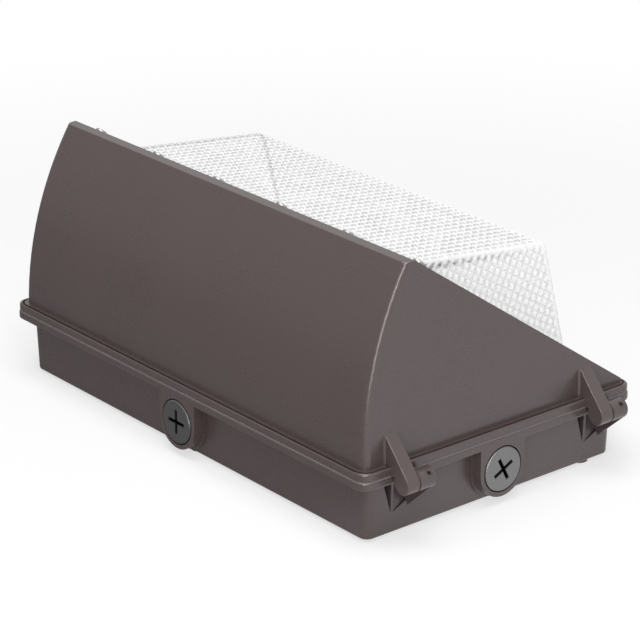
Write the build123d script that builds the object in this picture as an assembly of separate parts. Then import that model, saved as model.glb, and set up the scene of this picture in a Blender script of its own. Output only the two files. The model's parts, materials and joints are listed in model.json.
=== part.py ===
from build123d import *

import os
from math import acos, atan2, cos, degrees, hypot, radians, sin, tan

# Outdoor wall light: a cast back housing, a hood hinged at one end and a glass refractor.
# The wall is the plane Y = 0 and the light stands out of it towards -Y, with +Z up.
# The origin is the centre of the supply cable's entry. "Depth" is the distance from the wall.

# Castings
rim_length = 361.0
rim_height = 220.0
rim_corner = 8.0
rim_edge_round = 1.5
parting_edge_round = 0.9
cover_rim_inset = 0.5
rim_overhang_x = 9.0
rim_overhang_z = 9.5
back_corner = 6.0
back_edge_round = 1.5
casting_wall = 3.0
casting_draft = 2.0
standoff = 2.0
base_depth = 41.9
base_flange = 5.3
parting_gap = 0.25
cover_flange = 5.5
cavity_corner = 4.0

# Hood
rim_ledge_x = 5.9
rim_ledge_z = 5.3
hood_rise = 119.2
hood_draft = 2.15
hood_edge_round = 5.0
lip_drop = 34.1
lip_width = 7.5
lip_edge_round = 0.8
toe_rise = 2.6
foot_plinth = 2.8
foot_groove_width = 1.3
foot_groove_depth = 2.0

# Wall side: standoff pads, screw holes and cable entry
pad_diameter = 11.0
top_pad_inset = 8.0
low_pad_inset_x = 7.0
low_pad_inset_z = 20.0
wall_hole_diameter = 6.5
wall_hole_spacing_x = 260.0
wall_hole_spacing_z = 140.0
entry_diameter = 22.0
entry_rim = 6.0
grommet_bore = 10.0
grommet_lip = 3.0
grommet_lip_height = 2.0

# Conduit hubs and plugs
hub_diameter = 36.0
hub_depth = 23.0
collar_margin = 1.8
collar_step = 2.0
hub_bore = 21.0
plug_seat_diameter = 30.2
plug_seat_depth = 4.0
plug_head_diameter = 28.5
plug_proud = 0.6
plug_chamfer = 0.5
plug_slot_length = 16.0
plug_slot_width = 2.5
plug_slot_depth = 3.0
plug_ring_thickness = 1.5
plug_inner_reach = 1.5
hinge_plug_turn = 27.0

# Rim gasket
gasket_inset = 5.0
gasket_corner = 4.0
gasket_width = 3.2
gasket_groove_depth = 2.6

# Hinges
hinge_reach = 8.5
hinge_drop = 2.4
knuckle_radius = 6.5
hinge_pin_diameter = 5.0
upper_hinge_inset = 30.95
lower_hinge_inset = 31.75
hinge_gap = 0.5
arm_thickness = 9.5
arm_rise = 19.2
arm_bore_depth = 7.5
arm_edge_round = 0.8
arm_root_bevel = 1.0
lug_thickness = 11.8
lug_web = 1.6
lug_foot_depth = 15.2
recess_foot_depth = 15.8
recess_depth = 7.0
recess_upper_reach = 10.0
recess_lower_reach = 9.5
recess_shoulder = 5.0
stop_rib = 1.9
set_screw_diameter = 4.6
set_screw_socket = 2.5
set_screw_drop = 7.6
hinge_washer_diameter = 11.0

# Captive cover screws at the latch end
latch_reach = 7.0
latch_inset = 32.0
ear_radius = 7.5
cover_ear_depth = 10.0
base_ear_depth = 20.0
cover_screw_diameter = 5.0
cover_screw_neck = 3.8
cover_screw_head = 9.2
cover_screw_head_height = 4.0
cover_screw_slot = 1.2
cover_screw_thread_length = 9.0
cover_screw_travel = 8.0
retainer_washer_thickness = 0.8
retainer_washer_diameter = 9.2

# Glass refractor, in the slope's own coordinates
glass_end_margin = 35.1
glass_upper_margin = 29.1
glass_lower_margin = 18.4
glass_apex_up = 60.5
glass_apex_out = 53.2
glass_shoulder = 0.8
glass_wall = 4.0
glass_apex_round = 8.0
glass_edge_round = 3.0
glass_flange_width = 7.0
glass_flange = 5.0
glass_gasket_thickness = 1.5
glass_clearance = 1.0

# Glass retainers
retainer_thickness = 2.0
retainer_upper_margin = 14.5
retainer_lower_margin = 6.8
retainer_upper_inset = 16.0
retainer_lower_inset = 30.6
retainer_screw_count = 6
retainer_end_margin = 6.0
retainer_outer_margin = 5.5
retainer_hold = 5.0
retainer_boss_diameter = 8.6
retainer_screw_diameter = 4.0
retainer_screw_tip = 1.5

# LED bracket
bracket_end_margin = 5.0
bracket_sheet = 2.0
bracket_boss_height = 4.0
bracket_boss_diameter = 9.0
bracket_foot = 22.0
bracket_foot_screw = 12.0
bracket_screw_inset = 15.0
bracket_screw_diameter = 4.0
bracket_screw_length = 7.0
bracket_terminal_gap = 8.0
bracket_driver_gap = 12.0
tray_below_slope = 28.0
tray_upper_margin = 45.0
tray_lower_margin = 44.3

# LED boards
board_length = 200.0
board_width = 34.0
board_thickness = 1.6
board_spacing = 48.0
chip_size = 3.5
chip_height = 0.8
chip_count = 14
chip_end_margin = 12.9
board_screw_diameter = 3.0
board_screw_end_inset = 12.0
board_screw_edge_inset = 5.0
reflector_thickness = 0.6
reflector_margin = 3.0

# Driver and terminals
driver_length = 150.0
driver_width = 32.0
driver_height = 25.0
driver_entry_gap = 2.0
driver_pad_height = 3.0
driver_ear_length = 10.0
driver_ear_thickness = 3.0
driver_screw_diameter = 3.0
driver_screw_length = 7.0
terminal_length = 36.0
terminal_width = 18.0
terminal_height = 16.0
terminal_entry_gap = 7.0
terminal_pole_count = 3
terminal_screw_diameter = 4.0
terminal_ear_length = 8.0
terminal_ear_thickness = 3.0
ground_x = 52.0
ground_boss_diameter = 10.0
ground_screw_diameter = 4.0
lug_ring_diameter = 9.0
lug_ring_thickness = 1.0
lug_tail_length = 10.0
lug_tail_width = 5.0

# Leads
lead_diameter = 1.8
lead_bend = 9.0
lead_pitch = 4.0
lead_loop = 23.0
led_lead_side = 9.0
jumper_inset = 3.0

# Fits
fit_clearance = 0.05
slot_clearance = 0.2
screw_clearance = 0.2
opening_clearance = 0.5
swing_clearance = 0.5
pan_head_ratio = 1.9
pan_head_height_ratio = 0.6

# Outlines that follow the rim
back_length = rim_length - 2 * rim_overhang_x
back_height = rim_height - 2 * rim_overhang_z
hood_length = rim_length - 2 * rim_ledge_x
hood_height = rim_height - 2 * rim_ledge_z

# Depths of the main planes, measured from the wall
floor_depth = standoff + casting_wall
base_front = standoff + base_depth
base_flange_back = base_front - base_flange
cover_back = base_front + parting_gap
cover_front = cover_back + cover_flange
lip_depth = cover_front + hood_rise
hood_top = hood_height / 2
lip_front_z = hood_top - lip_drop
lip_back_z = lip_front_z - lip_width
toe_depth = cover_front + toe_rise
slope_angle = degrees(atan2(lip_depth - toe_depth, lip_back_z + hood_top))
slope_length = hypot(lip_depth - toe_depth, lip_back_z + hood_top)

# Places down the slope, measured from the lip
glass_length = hood_length - 2 * glass_end_margin
glass_upper_edge = glass_upper_margin
glass_lower_edge = slope_length - glass_lower_margin
glass_apex_down = glass_lower_edge - glass_apex_up
retainer_upper_row = retainer_upper_margin
retainer_lower_row = slope_length - retainer_lower_margin
retainer_upper_span = hood_length - 2 * retainer_upper_inset
retainer_lower_span = hood_length - 2 * retainer_lower_inset
tray_upper_edge = tray_upper_margin
tray_lower_edge = slope_length - tray_lower_margin
tray_middle = (tray_upper_edge + tray_lower_edge) / 2
board_upper_row = tray_middle - board_spacing / 2
board_lower_row = tray_middle + board_spacing / 2
bracket_length = board_length + 2 * bracket_end_margin

# The sloped front of the hood: local x along X, local y up the slope, local z out of it
slope = Plane(
    origin=(0, -lip_depth, lip_back_z),
    x_dir=(1, 0, 0),
    z_dir=(0, -cos(radians(slope_angle)), -sin(radians(slope_angle))),
)
# The side view: local x is depth, local y is height
side_view = Plane(origin=(0, 0, 0), x_dir=(0, -1, 0), z_dir=(-1, 0, 0))

nodes = {}


def at_depth(depth):
    """Plane at a depth from the wall that faces outwards, local x along X and local y up."""
    return Plane(origin=(0, -depth, 0), x_dir=(1, 0, 0), z_dir=(0, -1, 0))


def post(x, z, radius, depth_from, depth_to):
    """Cylinder that stands out from the wall."""
    return extrude(at_depth(depth_from) * Pos(x, z) * Circle(radius), amount=depth_to - depth_from)


def block(x, z, length, height, depth_from, depth_to):
    """Box that stands out from the wall, centred on x and z."""
    return extrude(at_depth(depth_from) * Pos(x, z) * Rectangle(length, height), amount=depth_to - depth_from)


def rounded_block(length, height, corner, depth_from, depth_to):
    """Rounded rectangle that stands out from the wall."""
    outline = RectangleRounded(length, height, corner)
    return extrude(at_depth(depth_from) * outline, amount=depth_to - depth_from)


def rounded_rim(inset, depth_from, depth_to, back_round, front_round):
    """Flange with the outline of the rim, or smaller by an inset, and with rounded edges."""
    length, height = rim_length - 2 * inset, rim_height - 2 * inset
    block = rounded_block(length, height, rim_corner - inset, depth_from, depth_to)
    block = fillet(block.faces().sort_by(Axis.Y)[-1].edges(), back_round)
    return fillet(block.faces().sort_by(Axis.Y)[0].edges(), front_round)


def foot_block(margin):
    """Front layer of the cover's rim as far as a margin round the foot of the hood."""
    length, height = hood_length + 2 * margin, hood_height + 2 * margin
    return rounded_block(length, height, hood_edge_round + margin, cover_front - foot_groove_depth, cover_front)



def rounded_ring(length, height, corner, width):
    """Flat ring of a given width along a rounded rectangle."""
    outer = RectangleRounded(length + width, height + width, corner + width / 2)
    inner = RectangleRounded(length - width, height - width, corner - width / 2)
    return outer - inner


def slope_solid(x, down, radius, out_from, out_to):
    """Cylinder square to the slope, at a distance down it."""
    return slope * Pos(x, -down, (out_from + out_to) / 2) * Cylinder(radius, out_to - out_from)


def slope_plate(x, down, length, width, out_from, out_to):
    """Plate parallel to the slope, centred at a distance down it."""
    return slope * Pos(x, -down, (out_from + out_to) / 2) * Box(length, width, out_to - out_from)


def slope_point(down, out):
    """Depth and height of a point given by its distances down the slope and out of it."""
    angle = radians(slope_angle)
    depth = lip_depth - down * sin(angle) + out * cos(angle)
    height = lip_back_z - down * cos(angle) - out * sin(angle)
    return depth, height


def hood_half_length(depth):
    """Half the hood's outer length at a depth."""
    return hood_length / 2 - (depth - cover_front) * tan(radians(hood_draft))


def tangent_point(point, center, radius, turn):
    """Point where the line from an outside point touches a circle; turn picks the side."""
    across, along = point[0] - center[0], point[1] - center[1]
    angle = atan2(along, across) + turn * acos(radius / hypot(across, along))
    return center[0] + radius * cos(angle), center[1] + radius * sin(angle)


def bent_strip(points, thickness):
    """Closed outline of a sheet whose one face follows the points, with the sheet on their right."""
    count = len(points)
    rights = []
    for start, end in zip(points[:-1], points[1:]):
        run = hypot(end[0] - start[0], end[1] - start[1])
        rights.append(((end[1] - start[1]) / run, -(end[0] - start[0]) / run))
    back = []
    for index, point in enumerate(points):
        first = rights[max(index - 1, 0)]
        second = rights[min(index, count - 2)]
        share = thickness / (1 + first[0] * second[0] + first[1] * second[1])
        back.append((point[0] + share * (first[0] + second[0]), point[1] + share * (first[1] + second[1])))
    return make_face(Polyline(*points, *reversed(back), close=True))


def lead(points):
    """Round wire along straight runs joined by tangent arcs; points are x, depth and height."""
    corners = [(x, -depth, z) for x, depth, z in points]
    path = FilletPolyline(*corners, radius=lead_bend) if len(corners) > 2 else Line(*corners)
    section = Plane(origin=path @ 0, z_dir=path % 0) * Circle(lead_diameter / 2)
    return sweep(section, path=path)


def pan_screw(diameter, length):
    """Pan-head screw with a cross recess: its head stands on z = 0 and its shank goes down."""
    head_radius = diameter * pan_head_ratio / 2
    head_height = diameter * pan_head_height_ratio
    head = Pos(0, 0, head_height / 2) * Cylinder(head_radius, head_height)
    head = fillet(head.edges().sort_by(Axis.Z)[-1], head_height / 2)
    recess = Pos(0, 0, head_height) * (
        Box(head_radius, head_radius / 4, head_height) + Box(head_radius / 4, head_radius, head_height)
    )
    shank = Pos(0, 0, -length / 2) * Cylinder(diameter / 2, length)
    return head + shank - recess


def facing_out(x, depth, z):
    """Plane at a point that faces away from the wall."""
    return Plane(origin=(x, -depth, z), x_dir=(1, 0, 0), z_dir=(0, -1, 0))


# Conduit hubs: local x along the side, local y towards the wall, local z out of the side
hub_planes = {
    "top": Plane(origin=(0, -hub_depth, rim_height / 2), x_dir=(1, 0, 0), z_dir=(0, 0, 1)),
    "hinge_end": Plane(origin=(-rim_length / 2, -hub_depth, 0), x_dir=(0, 0, 1), z_dir=(-1, 0, 0)),
    "latch_end": Plane(origin=(rim_length / 2, -hub_depth, 0), x_dir=(0, 0, -1), z_dir=(1, 0, 0)),
}
hub_overhangs = {
    "top": rim_overhang_z,
    "hinge_end": rim_overhang_x,
    "latch_end": rim_overhang_x,
}
plug_turns = {"top": 0, "hinge_end": hinge_plug_turn, "latch_end": 0}


def hub_outline(radius):
    """Round towards the wall, straight towards the rim."""
    reach = base_front - base_flange / 2 - hub_depth
    return Circle(radius) + Pos(0, -reach / 2) * Rectangle(2 * radius, reach)


def make_hub(side):
    """Boss and low collar of one conduit hub."""
    plane = hub_planes[side]
    overhang = hub_overhangs[side]
    into_wall = overhang + casting_wall / 2
    boss = plane * extrude(hub_outline(hub_diameter / 2), amount=-into_wall)
    collar_top = overhang - collar_step
    collar_outline = hub_outline(hub_diameter / 2 + collar_margin)
    collar = plane * Pos(0, 0, -collar_top) * extrude(collar_outline, amount=collar_top - into_wall)
    return boss + collar


def hub_cuts(side):
    """Seat and bore of one conduit hub."""
    plane = hub_planes[side]
    bore_length = hub_overhangs[side] + 2 * casting_wall
    seat = plane * Pos(0, 0, -plug_seat_depth / 2) * Cylinder(plug_seat_diameter / 2, plug_seat_depth)
    bore = plane * Pos(0, 0, -bore_length / 2) * Cylinder(hub_bore / 2, bore_length)
    return seat + bore


# Hinges: both share one upright axis
hinge_x = -(rim_length / 2 + hinge_reach)
hinge_depth = base_front - hinge_drop
hinge_heights = (rim_height / 2 - upper_hinge_inset, lower_hinge_inset - rim_height / 2)
hinge_center = (hinge_x, -hinge_depth)
pin_radius = hinge_pin_diameter / 2
pin_bore_radius = pin_radius + fit_clearance
set_screw_lean = Plane(origin=(hinge_x, -hinge_depth, 0), x_dir=(0, 0, 1), z_dir=(-1, -1, 0))


def upright(outline, z_from, z_to):
    """Solid of an X-Y outline between two heights."""
    return extrude(Plane.XY.offset(z_from) * outline, amount=z_to - z_from)


def make_lug(z):
    """Housing half of one hinge: a knuckle on the rim, with a thin web down to the end wall at its far end."""
    wall_x = -(back_length - casting_wall) / 2
    foot = (wall_x, -lug_foot_depth)
    touch = tangent_point(foot, hinge_center, knuckle_radius, 1)
    knuckle = Pos(*hinge_center) * Circle(knuckle_radius)
    web = make_face(Polyline(foot, touch, hinge_center, (wall_x, -base_front), close=True)) + knuckle
    root_x = casting_wall - rim_length / 2
    bridge = make_face(
        Polyline(
            hinge_center,
            (hinge_x, -base_front),
            (root_x, -base_front),
            (root_x, -base_flange_back),
            (hinge_x, -base_flange_back),
            close=True,
        )
    )
    top = z - hinge_gap / 2
    bottom = top - lug_thickness
    body = upright(bridge + knuckle, bottom, top) + upright(web, bottom, bottom + lug_web)
    bore = upright(Pos(*hinge_center) * Circle(pin_bore_radius), bottom, top)
    screw_hole = set_screw_lean * Pos(top - set_screw_drop, 0, knuckle_radius / 2)
    screw_hole *= Cylinder(set_screw_diameter / 2 + fit_clearance, knuckle_radius)
    return body - bore - screw_hole


def recess_wedge(z, inset, margin):
    """Wedge in the end wall under one arm, from its foot to the rim, moved in by an inset and widened by a margin."""
    foot_x = -back_length / 2 + inset
    deep_x = foot_x + recess_depth
    outside = -rim_length / 2 if not inset else foot_x - casting_wall
    foot_depth = recess_foot_depth - margin
    side = make_face(
        Polyline(
            (foot_x, -foot_depth),
            (deep_x, -base_flange_back),
            (outside, -base_flange_back),
            (outside, -foot_depth),
            close=True,
        )
    )
    upper = recess_upper_reach + margin
    lower = recess_lower_reach + margin
    front = make_face(
        Polyline(
            (base_flange_back, z + upper),
            (foot_depth, z + 1.5 * stop_rib + margin),
            (foot_depth, z + stop_rib / 2 - margin),
            (foot_depth + recess_shoulder, z - lower),
            (base_flange_back, z - lower),
            close=True,
        )
    )
    return upright(side, z - lower, z + upper) & extrude(side_view * front, amount=rim_length)


def make_recess(z):
    """Hollow under one arm, with a stop rib left standing in it."""
    rib_z = z + stop_rib
    rib = upright(
        Pos(-back_length / 2, -hinge_depth / 2) * Rectangle(4 * recess_depth, hinge_depth),
        rib_z - stop_rib / 2,
        rib_z + stop_rib / 2,
    )
    return recess_wedge(z, 0, 0) - rib


def make_arm(z):
    """Cover half of one hinge: a wedge on the end wall that runs down to a knuckle."""
    tip_depth = cover_front + arm_rise
    tip = (-hood_half_length(tip_depth), -tip_depth)
    inner_x = -hood_half_length(tip_depth) + casting_wall / 2
    touch = tangent_point(tip, hinge_center, knuckle_radius, -1)
    under = (hinge_x + knuckle_radius / 2, -cover_back)
    inner = (inner_x, -cover_back)
    outline = make_face(Polyline(tip, touch, hinge_center, under, inner, (inner_x, -tip_depth), close=True))
    outline += Pos(*hinge_center) * Circle(knuckle_radius)
    bottom = z + hinge_gap / 2
    arm = upright(outline, bottom, bottom + arm_thickness)
    outer_edges = arm.edges().filter_by(Axis.Z, reverse=True).filter_by(lambda edge: edge.center().X < tip[0])
    arm = fillet(outer_edges, arm_edge_round)
    lean = radians(hood_draft)
    end_wall = Plane(
        origin=(-hood_half_length(cover_front), -cover_front, bottom + arm_thickness / 2),
        x_dir=(0, 0, 1),
        z_dir=(-cos(lean), -sin(lean), 0),
    )
    root = Pos(0, -arm_rise / 2) * Rectangle(arm_thickness + 2 * arm_root_bevel, arm_rise)
    arm += end_wall * extrude(root, amount=arm_root_bevel, taper=45)
    bore = upright(Pos(*hinge_center) * Circle(pin_bore_radius), bottom, bottom + arm_bore_depth)
    return arm - bore


# Latch end: two ears in line on the housing and the cover
latch_x = rim_length / 2 + latch_reach
latch_heights = {"upper": rim_height / 2 - latch_inset, "lower": latch_inset - rim_height / 2}
cover_ear_front = cover_back + cover_ear_depth
thread_top = cover_back - cover_screw_travel - screw_clearance
thread_tip = thread_top - cover_screw_thread_length


def make_ear(z, depth_from, depth_to):
    """Round ear with a straight web back to the rim."""
    root_x = back_length / 2 - casting_wall / 2
    outline = Pos(latch_x, z) * Circle(ear_radius)
    outline += Pos((root_x + latch_x) / 2, z) * Rectangle(latch_x - root_x, 2 * ear_radius)
    return extrude(at_depth(depth_from) * outline, amount=depth_to - depth_from)


# Places that several pieces share
grommet_radius = entry_diameter / 2
grommet_lip_radius = grommet_radius + grommet_lip
driver_center_z = -(grommet_lip_radius + driver_entry_gap + driver_width / 2)
terminal_center_z = grommet_lip_radius + terminal_entry_gap + terminal_width / 2
driver_floor = floor_depth + driver_pad_height
driver_screw_x = (driver_length + driver_ear_length) / 2
terminal_screw_x = (terminal_length + terminal_ear_length) / 2
bracket_foot_depth = floor_depth + bracket_boss_height
foot_top = bracket_foot_depth + bracket_sheet
tray_upper = slope_point(tray_upper_edge, -tray_below_slope)
tray_lower = slope_point(tray_lower_edge, -tray_below_slope)
upper_bend_z = terminal_center_z + terminal_width / 2 + bracket_terminal_gap
lower_bend_z = driver_center_z - driver_width / 2 - bracket_driver_gap
bracket_screw_x = bracket_length / 2 - bracket_screw_inset
bracket_screw_places = [
    (x, z)
    for x in (-bracket_screw_x, bracket_screw_x)
    for z in (upper_bend_z + bracket_foot_screw, lower_bend_z - bracket_foot_screw)
]
tray_out = -tray_below_slope
board_out = tray_out + board_thickness
board_rows = {"upper": board_upper_row, "lower": board_lower_row}
board_screw_x = board_length / 2 - board_screw_end_inset
board_screw_places = [
    (x, row - board_width / 2 + board_screw_edge_inset)
    for row in board_rows.values()
    for x in (-board_screw_x, board_screw_x)
]
glass_seat = -(casting_wall + glass_gasket_thickness)
glass_back = glass_seat - glass_flange
retainer_back = glass_back - retainer_thickness
retainer_places = [
    (span * (index / (retainer_screw_count - 1) - 0.5), row)
    for span, row in ((retainer_upper_span, retainer_upper_row), (retainer_lower_span, retainer_lower_row))
    for index in range(retainer_screw_count)
]


# Back housing
def make_back_housing():
    """Cast tray with its rim, hubs, hinge lugs, ears, pads and bosses."""
    outer = extrude(
        at_depth(standoff) * RectangleRounded(back_length, back_height, back_corner),
        amount=base_depth - base_flange / 2,
        taper=-casting_draft,
    )
    outer = fillet(outer.faces().sort_by(Axis.Y)[-1].edges(), back_edge_round)
    rim = rounded_rim(0, base_flange_back, base_front, rim_edge_round, parting_edge_round)
    body = outer + rim
    for side in hub_planes:
        body += make_hub(side)
    for z in hinge_heights:
        body += make_lug(z)
    for z in latch_heights.values():
        body += make_ear(z, base_front - base_ear_depth, base_front)

    cavity = extrude(
        at_depth(floor_depth)
        * RectangleRounded(back_length - 2 * casting_wall, back_height - 2 * casting_wall, cavity_corner),
        amount=base_front - floor_depth + parting_gap,
        taper=-casting_draft,
    )
    body -= cavity
    for z in hinge_heights:
        body += recess_wedge(z, casting_wall, casting_wall)
        body -= make_recess(z)

    pad_places = [
        (0, back_height / 2 - top_pad_inset),
        (back_length / 2 - low_pad_inset_x, -back_height / 2 + low_pad_inset_z),
        (-back_length / 2 + low_pad_inset_x, -back_height / 2 + low_pad_inset_z),
    ]
    for x, z in pad_places:
        body += post(x, z, pad_diameter / 2, 0, floor_depth)
    body += post(0, 0, grommet_radius + entry_rim, 0, floor_depth)
    for x, z in bracket_screw_places:
        body += post(x, z, bracket_boss_diameter / 2, standoff, bracket_foot_depth)
    pad_length = driver_length + 2 * driver_ear_length
    body += block(0, driver_center_z, pad_length, driver_width, standoff, driver_floor)
    terminal_pad = terminal_length + 2 * terminal_ear_length
    body += block(0, terminal_center_z, terminal_pad, terminal_width, standoff, driver_floor)
    body += post(ground_x, terminal_center_z, ground_boss_diameter / 2, standoff, driver_floor)

    for side in hub_planes:
        body -= hub_cuts(side)
    body -= post(0, 0, grommet_radius, -standoff, driver_floor + standoff)
    for x in (-wall_hole_spacing_x / 2, wall_hole_spacing_x / 2):
        for z in (-wall_hole_spacing_z / 2, wall_hole_spacing_z / 2):
            body -= post(x, z, wall_hole_diameter / 2, 0, 2 * floor_depth)
    for x, z in bracket_screw_places:
        hole_radius = bracket_screw_diameter / 2 + fit_clearance
        body -= post(x, z, hole_radius, foot_top - bracket_screw_length - screw_clearance, foot_top)
    small_hole = driver_screw_diameter / 2 + fit_clearance
    small_hole_end = driver_floor + driver_ear_thickness - driver_screw_length - screw_clearance
    for x in (-driver_screw_x, driver_screw_x):
        body -= post(x, driver_center_z, small_hole, small_hole_end, driver_floor)
    for x in (-terminal_screw_x, terminal_screw_x):
        body -= post(x, terminal_center_z, small_hole, small_hole_end, driver_floor)
    ground_hole_end = driver_floor + lug_ring_thickness - driver_screw_length + screw_clearance
    ground_hole = ground_screw_diameter / 2 + fit_clearance
    body -= post(ground_x, terminal_center_z, ground_hole, ground_hole_end, driver_floor)
    latch_hole = cover_screw_diameter / 2 + swing_clearance
    for z in latch_heights.values():
        body -= post(latch_x, z, latch_hole, thread_tip - swing_clearance, base_front)

    ring = rounded_ring(
        rim_length - 2 * gasket_inset,
        rim_height - 2 * gasket_inset,
        gasket_corner,
        gasket_width + 2 * slot_clearance,
    )
    body -= extrude(at_depth(base_front - gasket_groove_depth) * ring, amount=gasket_groove_depth)
    return body


nodes["back_housing"] = make_back_housing()

# Rim gasket: stands in the housing's groove and closes the parting gap
gasket_ring = rounded_ring(
    rim_length - 2 * gasket_inset, rim_height - 2 * gasket_inset, gasket_corner, gasket_width
)
nodes["housing_gasket"] = extrude(
    at_depth(base_front - gasket_groove_depth) * gasket_ring, amount=gasket_groove_depth + parting_gap
)


# Conduit plugs with sealing rings
def make_plug(side):
    """Flush plug with a crossed slot."""
    head_bottom = -plug_seat_depth + plug_ring_thickness
    head_height = plug_proud - head_bottom
    head = Pos(0, 0, head_bottom + head_height / 2) * Cylinder(plug_head_diameter / 2, head_height)
    head = chamfer(head.edges().sort_by(Axis.Z)[-1], plug_chamfer)
    thread_length = hub_overhangs[side] + casting_wall + plug_inner_reach + head_bottom
    thread_radius = hub_bore / 2 - slot_clearance
    thread = Pos(0, 0, head_bottom - thread_length / 2) * Cylinder(thread_radius, thread_length)
    slot = Box(plug_slot_length, plug_slot_width, 2 * plug_slot_depth)
    cross = Pos(0, 0, plug_proud) * (slot + Rot(0, 0, 90) * slot)
    return hub_planes[side] * Rot(0, 0, plug_turns[side]) * (head + thread - cross)


for side in hub_planes:
    nodes[f"conduit_plug_{side}"] = make_plug(side)

plug_ring = Cylinder(plug_head_diameter / 2, plug_ring_thickness)
plug_ring -= Cylinder(hub_bore / 2, plug_ring_thickness)
ring_place = Pos(0, 0, -plug_seat_depth + plug_ring_thickness / 2)
nodes["plug_seal_rings"] = Compound([plane * ring_place * plug_ring for plane in hub_planes.values()])

# Cable entry grommet
grommet = post(0, 0, grommet_radius - fit_clearance, 0, floor_depth)
grommet += post(0, 0, grommet_lip_radius, floor_depth, floor_depth + grommet_lip_height)
nodes["entry_grommet"] = grommet - post(0, 0, grommet_bore / 2, 0, floor_depth + grommet_lip_height)

# Hinge pins, their washers and the screws that lock them
pins, washers, set_screws = [], [], []
for z in hinge_heights:
    lug_top = z - hinge_gap / 2
    pin_top = z + hinge_gap / 2 + arm_bore_depth - slot_clearance
    pins.append(upright(Pos(*hinge_center) * Circle(pin_radius), lug_top - lug_thickness, pin_top))
    washer = Circle(hinge_washer_diameter / 2) - Circle(pin_bore_radius)
    washers.append(upright(Pos(*hinge_center) * washer, lug_top, lug_top + hinge_gap))
    screw_length = knuckle_radius - slot_clearance - pin_radius
    screw = Cylinder(set_screw_diameter / 2, screw_length)
    socket = extrude(RegularPolygon(set_screw_socket / 2, 6, major_radius=False), amount=screw_length / 2)
    place = set_screw_lean * Pos(lug_top - set_screw_drop, 0, pin_radius + screw_length / 2)
    set_screws.append(place * (screw - socket))
nodes["hinge_pins"] = Compound(pins)
nodes["hinge_washers"] = Compound(washers)
nodes["pin_set_screws"] = Compound(set_screws)


# Front cover
def hood_outline(foot_depth):
    """Side outline of the hood: curved roof, narrow lip, sloped front and short toe."""
    foot = Line((foot_depth, hood_top), (cover_front, hood_top))
    roof = TangentArc((cover_front, hood_top), (lip_depth, lip_front_z), tangent=(1, 0))
    front = Polyline(
        (lip_depth, lip_front_z),
        (lip_depth, lip_back_z),
        (toe_depth, -hood_top),
        (foot_depth, -hood_top),
        (foot_depth, hood_top),
    )
    return make_face(foot.edges() + roof.edges() + front.edges())


def hood_ends(foot_depth, inset):
    """Wedge between the two leaning end walls, moved in by an inset."""
    far_depth = lip_depth + hood_rise
    near_x = hood_half_length(foot_depth) - inset
    far_x = hood_half_length(far_depth) - inset
    corners = [(near_x, -foot_depth), (far_x, -far_depth), (-far_x, -far_depth), (-near_x, -foot_depth)]
    return extrude(make_face(Polyline(*corners, close=True)), amount=hood_height, both=True)


def is_roof_end_edge(edge):
    """True for the curved edges where the roof meets the end walls."""
    return edge.geom_type != GeomType.LINE


def make_front_cover():
    """Hood, rim and hinge arms in one casting."""
    hood = extrude(side_view * hood_outline(cover_back), amount=hood_length, both=True)
    hood = hood & hood_ends(cover_back, 0)
    hood = fillet(hood.edges().filter_by(is_roof_end_edge), hood_edge_round)
    lip_edges = hood.faces().sort_by(Axis.Y)[0].edges()
    hood = fillet(lip_edges, lip_edge_round)

    rim = rounded_rim(cover_rim_inset, cover_back, cover_front, parting_edge_round, rim_edge_round)
    rim -= foot_block(foot_plinth + foot_groove_width) - foot_block(foot_plinth)
    cover = hood + rim
    for z in hinge_heights:
        cover += make_arm(z)
    for z in latch_heights.values():
        cover += make_ear(z, cover_back, cover_ear_front)

    inner_foot = base_front - 2 * casting_wall
    inner = offset(hood_outline(inner_foot), amount=-casting_wall, kind=Kind.INTERSECTION)
    hollow = extrude(side_view * inner, amount=hood_length, both=True) & hood_ends(inner_foot, casting_wall)
    cover -= hollow

    for x, down in retainer_places:
        cover += slope_solid(x, down, retainer_boss_diameter / 2, glass_back, -casting_wall / 2)
    window_width = glass_lower_edge - glass_upper_edge + 2 * glass_clearance
    window_length = glass_length + 2 * glass_clearance
    window_down = (glass_upper_edge + glass_lower_edge) / 2
    cover -= slope_plate(0, window_down, window_length, window_width, -2 * casting_wall, casting_wall)
    for x, down in retainer_places:
        cover -= slope_solid(x, down, retainer_screw_diameter / 2 + screw_clearance, glass_back, casting_wall)
    for z in latch_heights.values():
        cover -= post(latch_x, z, cover_screw_diameter / 2 + screw_clearance, cover_back, cover_ear_front)
        seat_radius = retainer_washer_diameter / 2 + slot_clearance
        cover -= post(latch_x, z, seat_radius, cover_back, cover_back + retainer_washer_thickness)
    return cover


nodes["front_cover"] = make_front_cover()


# Glass refractor: a hollow three-sided prism on a neck and flange
def glass_profile(inset):
    """Cross-section down the slope and out of it, moved in by an inset."""
    outline = make_face(
        Polyline(
            (-glass_upper_edge, glass_back),
            (-glass_upper_edge, glass_shoulder),
            (-glass_apex_down, glass_apex_out),
            (-glass_lower_edge, glass_shoulder),
            (-glass_lower_edge, glass_back),
            close=True,
        )
    )
    return offset(outline, amount=-inset, kind=Kind.INTERSECTION) if inset else outline


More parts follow.
